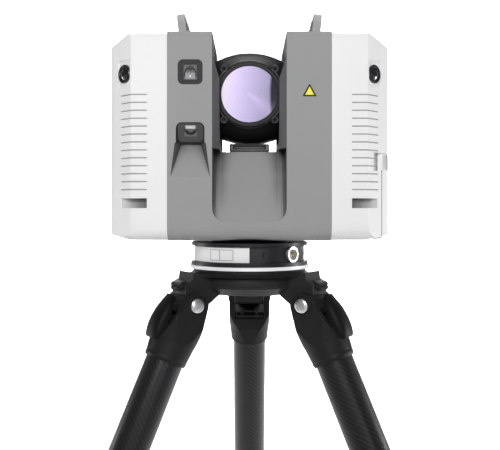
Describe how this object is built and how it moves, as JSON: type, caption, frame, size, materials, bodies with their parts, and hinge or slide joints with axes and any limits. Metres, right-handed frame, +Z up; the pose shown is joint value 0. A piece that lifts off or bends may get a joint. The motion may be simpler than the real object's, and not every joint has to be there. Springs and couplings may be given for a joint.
{
  "type": "terrestrial laser scanner",
  "caption": "Scanner with a spinning mirror rotor between two columns, on a geared pan base and a telescoping tripod with folding legs.",
  "frame": {"origin": "point on the ground plane of the three feet, under the vertical pan axis", "axes": "+Z up along the pan axis; -Y towards the scanner's front, the face with the cameras; +X towards the battery door; one tripod leg points along +Y"},
  "size_m": [0.5024, 0.4394, 0.7233],
  "materials": {
    "hub": "satin black anodised",
    "plate_black": "satin black anodised",
    "silver_ring": "turned",
    "steel": "satin",
    "chrome": "polished",
    "base_dark": "dark anodised",
    "flange_black": "satin black",
    "label": "brushed",
    "insulator": "matt",
    "contacts": "gold plated",
    "yoke_grey": "fine matt paint",
    "cover_white": "fine matt",
    "handle_grey": "fine matt paint",
    "bezel_dark": "matt",
    "lens_dark": "glossy",
    "camera_glass": "dark glass",
    "barrel_black": "glossy",
    "plate_yellow": "printed",
    "screen_glass": "glossy",
    "rotor_black": "satin black anodised",
    "window_lilac": "coated",
    "mirror": "mirror",
    "screw_black": "blackened",
    "casting_black": "satin black",
    "carbon": "woven carbon fibre under clear lacquer",
    "tab_black": "matt",
    "collar_rubber": "ribbed"
  },
  "bodies": {
    "tripod_head": {"hub_casting": "hub", "top_plate": "plate_black", "quick_release_ring": "silver_ring", "hub_socket": "steel", "leg_pivot_bolts": "chrome", "base_ring": "base_dark", "base_flanges": "flange_black", "label_band": "label", "socket_shell": "chrome", "socket_insert": "insulator", "socket_pins": "contacts", "azimuth_bearing": "steel"},
    "release_button": {"release_button": "steel"},
    "head": {"yoke_housing": "yoke_grey", "azimuth_shaft": "base_dark", "left_cover": "cover_white", "right_cover": "cover_white", "carry_handles": "handle_grey", "camera_bezels": "bezel_dark", "camera_modules": "lens_dark", "camera_windows": "camera_glass", "corner_barrels": "barrel_black", "corner_lenses": "lens_dark", "warning_plate": "plate_yellow", "target_bracket": "yoke_grey", "screen_bezel": "insulator", "touch_screen": "screen_glass", "batteries": "bezel_dark", "rotor_bearings": "steel", "drive_motor": "bezel_dark", "laser_module": "bezel_dark"},
    "rotor": {"rotor_drum": "rotor_black", "rotor_shaft": "steel", "front_window": "window_lilac", "rotor_mirror": "mirror", "rotor_screws": "screw_black"},
    "power_button": {"power_button": "steel"},
    "battery_door": {"battery_door": "cover_white"},
    "door_latch": {"door_latch": "steel"},
    "rear_leg": {"rear_casting": "casting_black", "rear_upper_tube": "carbon"},
    "rear_tab": {"rear_angle_tab": "tab_black"},
    "rear_upper_lock": {"rear_upper_collar": "collar_rubber"},
    "rear_middle": {"rear_middle_tube": "carbon"},
    "rear_lower_lock": {"rear_lower_collar": "collar_rubber"},
    "rear_lower": {"rear_lower_tube": "carbon"},
    "left_leg": {"left_casting": "casting_black", "left_upper_tube": "carbon"},
    "left_tab": {"left_angle_tab": "tab_black"},
    "left_upper_lock": {"left_upper_collar": "collar_rubber"},
    "left_middle": {"left_middle_tube": "carbon"},
    "left_lower_lock": {"left_lower_collar": "collar_rubber"},
    "left_lower": {"left_lower_tube": "carbon"},
    "right_leg": {"right_casting": "casting_black", "right_upper_tube": "carbon"},
    "right_tab": {"right_angle_tab": "tab_black"},
    "right_upper_lock": {"right_upper_collar": "collar_rubber"},
    "right_middle": {"right_middle_tube": "carbon"},
    "right_lower_lock": {"right_lower_collar": "collar_rubber"},
    "right_lower": {"right_lower_tube": "carbon"}
  },
  "joints": [
    {"name": "head_pan", "type": "hinge", "parent": "tripod_head", "child": "head", "pos_m": [0, 0, 0.5], "axis": [0, 0, 1], "continuous": true},
    {"name": "rotor_spin", "type": "hinge", "parent": "head", "child": "rotor", "pos_m": [0, 0, 0.651], "axis": [1, 0, 0], "continuous": true},
    {"name": "battery_door_hinge", "type": "hinge", "parent": "head", "child": "battery_door", "pos_m": [0.11, 0, 0.5256], "axis": [0, 1, 0], "range_deg": [0, 80]},
    {"name": "door_latch_slide", "type": "slide", "parent": "battery_door", "child": "door_latch", "axis": [0, 1, 0], "range_m": [0, 0.0045], "stiffness_N_per_m": 40, "springref_m": -0.002},
    {"name": "power_button_press", "type": "slide", "parent": "head", "child": "power_button", "axis": [1, 0, 0], "range_m": [0, 0.0015], "stiffness_N_per_m": 400, "springref_m": -0.001},
    {"name": "release_button_press", "type": "slide", "parent": "tripod_head", "child": "release_button", "axis": [-0.866, -0.5, 0], "range_m": [0, 0.003], "stiffness_N_per_m": 300, "springref_m": -0.002},
    {"name": "rear_leg_fold", "type": "hinge", "parent": "tripod_head", "child": "rear_leg", "pos_m": [0, 0.063, 0.467], "axis": [-1, 0, 0], "range_deg": [0, 24]},
    {"name": "rear_tab_pull", "type": "slide", "parent": "rear_leg", "child": "rear_tab", "axis": [0, 0.9114, 0.4115], "range_m": [0, 0.005], "stiffness_N_per_m": 300, "springref_m": -0.002},
    {"name": "rear_upper_twist", "type": "hinge", "parent": "rear_leg", "child": "rear_upper_lock", "pos_m": [0, 0.063, 0.467], "axis": [0, 0.4115, -0.9114], "range_deg": [0, 90]},
    {"name": "rear_middle_slide", "type": "slide", "parent": "rear_leg", "child": "rear_middle", "axis": [0, 0.4115, -0.9114], "range_m": [0, 0.26]},
    {"name": "rear_lower_twist", "type": "hinge", "parent": "rear_middle", "child": "rear_lower_lock", "pos_m": [0, 0.063, 0.467], "axis": [0, 0.4115, -0.9114], "range_deg": [0, 90]},
    {"name": "rear_lower_slide", "type": "slide", "parent": "rear_middle", "child": "rear_lower", "axis": [0, 0.4115, -0.9114], "range_m": [0, 0.26]},
    {"name": "left_leg_fold", "type": "hinge", "parent": "tripod_head", "child": "left_leg", "pos_m": [-0.05456, -0.0315, 0.467], "axis": [0.5, -0.866, 0], "range_deg": [0, 24]},
    {"name": "left_tab_pull", "type": "slide", "parent": "left_leg", "child": "left_tab", "axis": [-0.7893, -0.4557, 0.4115], "range_m": [0, 0.005], "stiffness_N_per_m": 300, "springref_m": -0.002},
    {"name": "left_upper_twist", "type": "hinge", "parent": "left_leg", "child": "left_upper_lock", "pos_m": [-0.05456, -0.0315, 0.467], "axis": [-0.3564, -0.2058, -0.9114], "range_deg": [0, 90]},
    {"name": "left_middle_slide", "type": "slide", "parent": "left_leg", "child": "left_middle", "axis": [-0.3564, -0.2058, -0.9114], "range_m": [0, 0.26]},
    {"name": "left_lower_twist", "type": "hinge", "parent": "left_middle", "child": "left_lower_lock", "pos_m": [-0.05456, -0.0315, 0.467], "axis": [-0.3564, -0.2058, -0.9114], "range_deg": [0, 90]},
    {"name": "left_lower_slide", "type": "slide", "parent": "left_middle", "child": "left_lower", "axis": [-0.3564, -0.2058, -0.9114], "range_m": [0, 0.26]},
    {"name": "right_leg_fold", "type": "hinge", "parent": "tripod_head", "child": "right_leg", "pos_m": [0.05456, -0.0315, 0.467], "axis": [0.5, 0.866, 0], "range_deg": [0, 24]},
    {"name": "right_tab_pull", "type": "slide", "parent": "right_leg", "child": "right_tab", "axis": [0.7893, -0.4557, 0.4115], "range_m": [0, 0.005], "stiffness_N_per_m": 300, "springref_m": -0.002},
    {"name": "right_upper_twist", "type": "hinge", "parent": "right_leg", "child": "right_upper_lock", "pos_m": [0.05456, -0.0315, 0.467], "axis": [0.3564, -0.2058, -0.9114], "range_deg": [0, 90]},
    {"name": "right_middle_slide", "type": "slide", "parent": "right_leg", "child": "right_middle", "axis": [0.3564, -0.2058, -0.9114], "range_m": [0, 0.26]},
    {"name": "right_lower_twist", "type": "hinge", "parent": "right_middle", "child": "right_lower_lock", "pos_m": [0.05456, -0.0315, 0.467], "axis": [0.3564, -0.2058, -0.9114], "range_deg": [0, 90]},
    {"name": "right_lower_slide", "type": "slide", "parent": "right_middle", "child": "right_lower", "axis": [0.3564, -0.2058, -0.9114], "range_m": [0, 0.26]}
  ]
}
